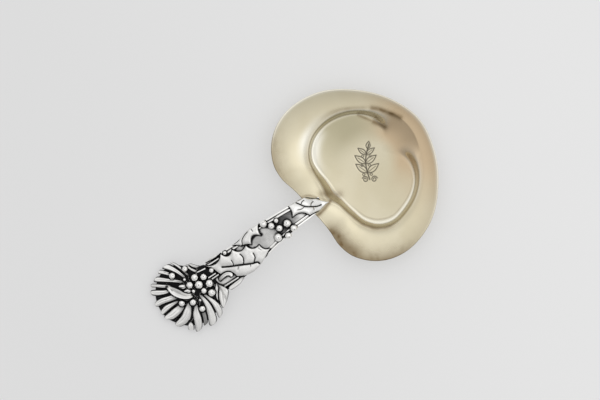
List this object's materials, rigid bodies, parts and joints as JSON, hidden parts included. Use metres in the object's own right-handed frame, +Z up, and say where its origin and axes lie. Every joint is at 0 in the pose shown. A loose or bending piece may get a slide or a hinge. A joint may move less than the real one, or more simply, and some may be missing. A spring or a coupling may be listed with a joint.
{
  "type": "caddy spoon",
  "caption": "Tea caddy spoon with a broad stepped heart-shaped bowl and a short handle that ends in a fan of mistletoe leaves, with holly leaves and berries in relief.",
  "frame": {"origin": "underside of the bowl, in the middle of its flat foot, on the surface that the spoon lies on", "axes": "+X from the handle to the front of the bowl, +Y to the left of that, +Z up out of the bowl"},
  "size_m": [0.0969, 0.0552, 0.011],
  "materials": {
    "silver": "polished sterling silver, darkened in the recesses",
    "gilt": "pale gold wash over silver, softly polished",
    "oxidised_silver": "black oxidised ground behind the leaves"
  },
  "bodies": {
    "root": {"bowl": "gilt", "curled_leaf": "silver", "edge_holly_leaf": "silver", "fan_berry_01": "silver", "fan_berry_02": "silver", "fan_berry_03": "silver", "fan_berry_04": "silver", "fan_berry_05": "silver", "fan_berry_06": "silver", "fan_berry_07": "silver", "fan_berry_08": "silver", "fan_berry_09": "silver", "fan_berry_10": "silver", "fan_berry_11": "silver", "fan_berry_12": "silver", "fan_berry_13": "silver", "fan_berry_14": "silver", "fan_berry_15": "silver", "fan_berry_16": "silver", "fan_leaf_01": "silver", "fan_leaf_02": "silver", "fan_leaf_03": "silver", "fan_leaf_04": "silver", "fan_leaf_05": "silver", "fan_leaf_06": "silver", "fan_leaf_07": "silver", "fan_leaf_08": "silver", "fan_leaf_09": "silver", "fan_leaf_10": "silver", "fan_leaf_11": "silver", "fan_leaf_12": "silver", "fan_leaf_13": "silver", "fan_leaf_14": "silver", "fan_leaf_15": "silver", "fan_leaf_16": "silver", "fan_leaf_17": "silver", "fan_leaf_18": "silver", "fan_leaf_19": "silver", "fan_plate": "oxidised_silver", "hooked_leaf": "silver", "large_holly_leaf": "silver", "leaflet_1": "silver", "leaflet_2": "silver", "side_holly_leaf": "silver", "stem": "silver", "stem_berry_1": "silver", "stem_berry_2": "silver", "stem_berry_3": "silver", "stem_berry_4": "silver", "stem_berry_5": "silver", "stem_berry_6": "silver", "stem_berry_7": "silver", "stem_berry_8": "silver", "stem_berry_9": "silver", "stem_leaf": "silver", "tip_holly_leaf": "silver", "twig_1": "silver", "twig_2": "silver", "twig_3": "silver", "twig_4": "silver"}
  },
  "joints": []
}
